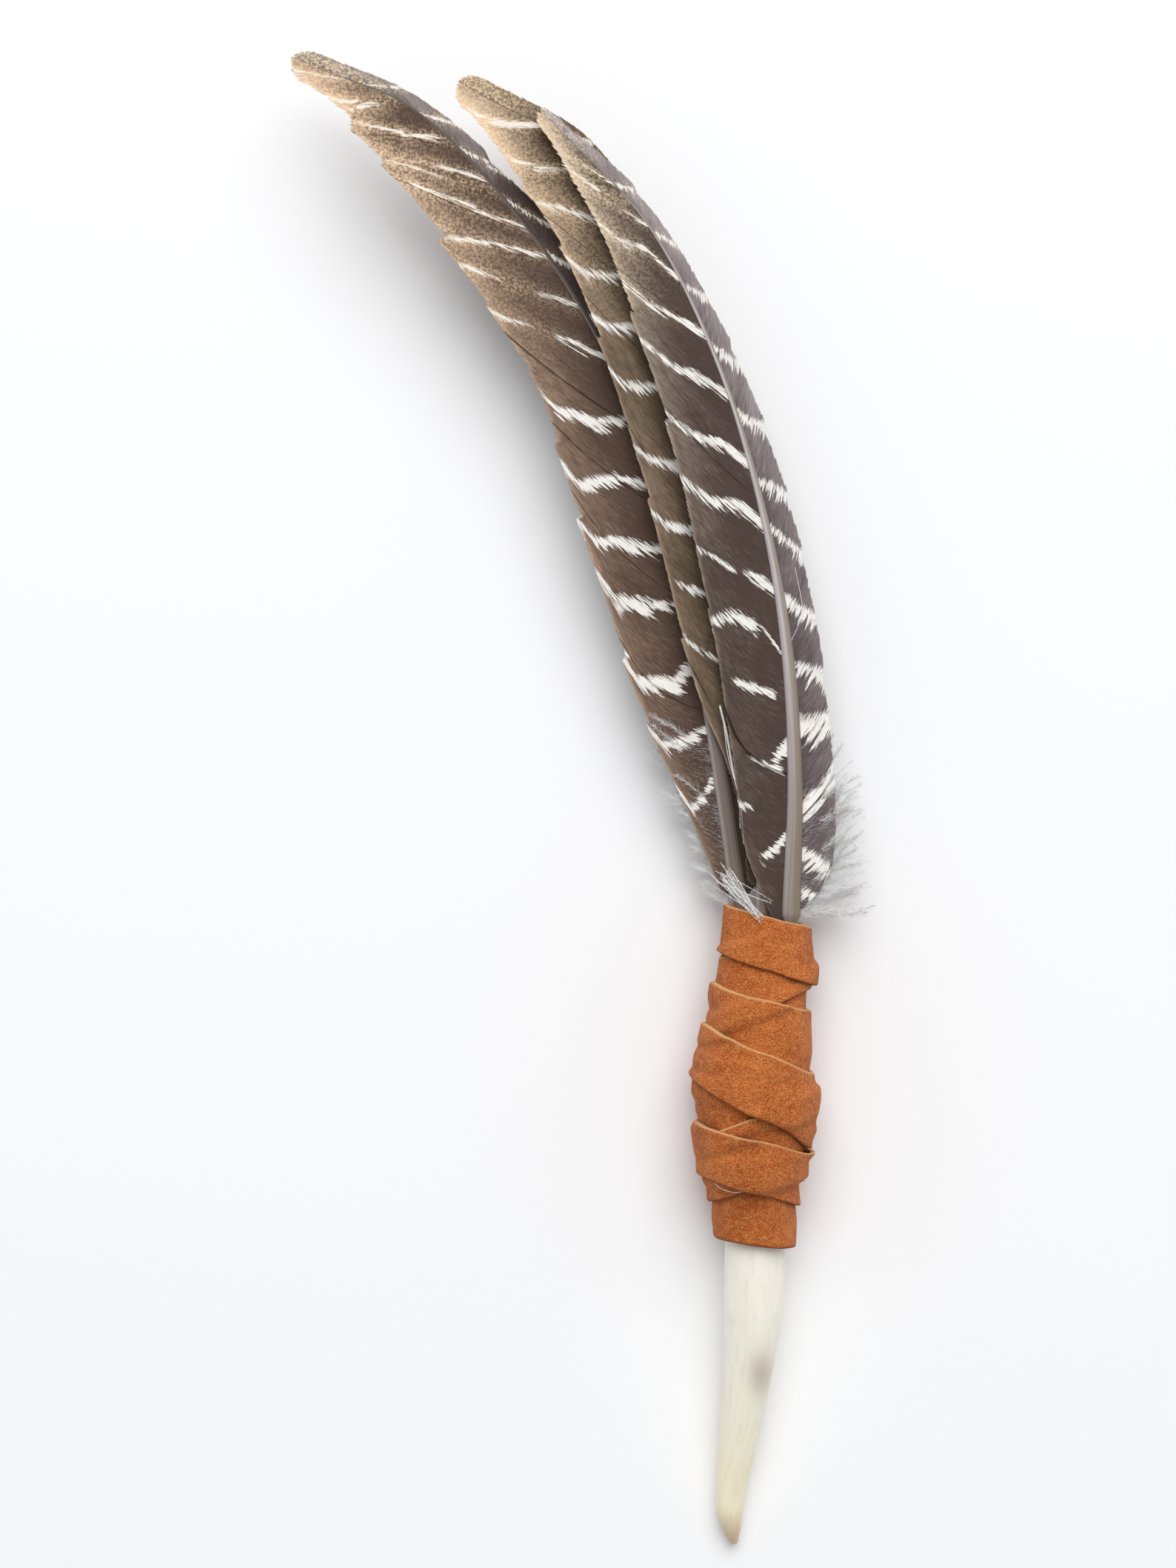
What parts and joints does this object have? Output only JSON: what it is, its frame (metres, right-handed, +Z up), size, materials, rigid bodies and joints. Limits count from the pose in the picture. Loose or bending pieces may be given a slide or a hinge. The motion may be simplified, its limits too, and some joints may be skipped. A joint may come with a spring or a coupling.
{
  "type": "feather smudging fan",
  "caption": "Hand fan of barred wing feathers bound with wrapped suede strip to a curved antler tine handle.",
  "frame": {"origin": "centre of the bounding box's base, on the surface the fan lies on", "axes": "+Z up from the surface, +Y along the fan from the antler to the feather tips, +X to the right as the handle points at the viewer"},
  "size_m": [0.1568, 0.4244, 0.0336],
  "materials": {
    "antler": "satin",
    "quill": "satin",
    "left_barbs": "matte",
    "middle_barbs": "matte",
    "right_barbs": "matte",
    "down": "matte",
    "suede": "matte",
    "glue": "satin"
  },
  "bodies": {
    "root": {"antler_tine": "antler", "left_shaft": "quill", "left_inner_vane": "left_barbs", "left_outer_vane": "left_barbs", "left_down": "down", "middle_shaft": "quill", "middle_inner_vane": "middle_barbs", "middle_outer_vane": "middle_barbs", "middle_down": "down", "right_shaft": "quill", "right_inner_vane": "right_barbs", "right_outer_vane": "right_barbs", "right_down": "down", "suede_turn_1": "suede", "suede_turn_2": "suede", "suede_turn_3": "suede", "suede_turn_4": "suede", "suede_turn_5": "suede", "suede_turn_6": "suede", "suede_turn_7": "suede", "suede_turn_8": "suede", "suede_turn_9": "suede", "suede_turn_10": "suede", "glue_bed": "glue"}
  },
  "joints": []
}
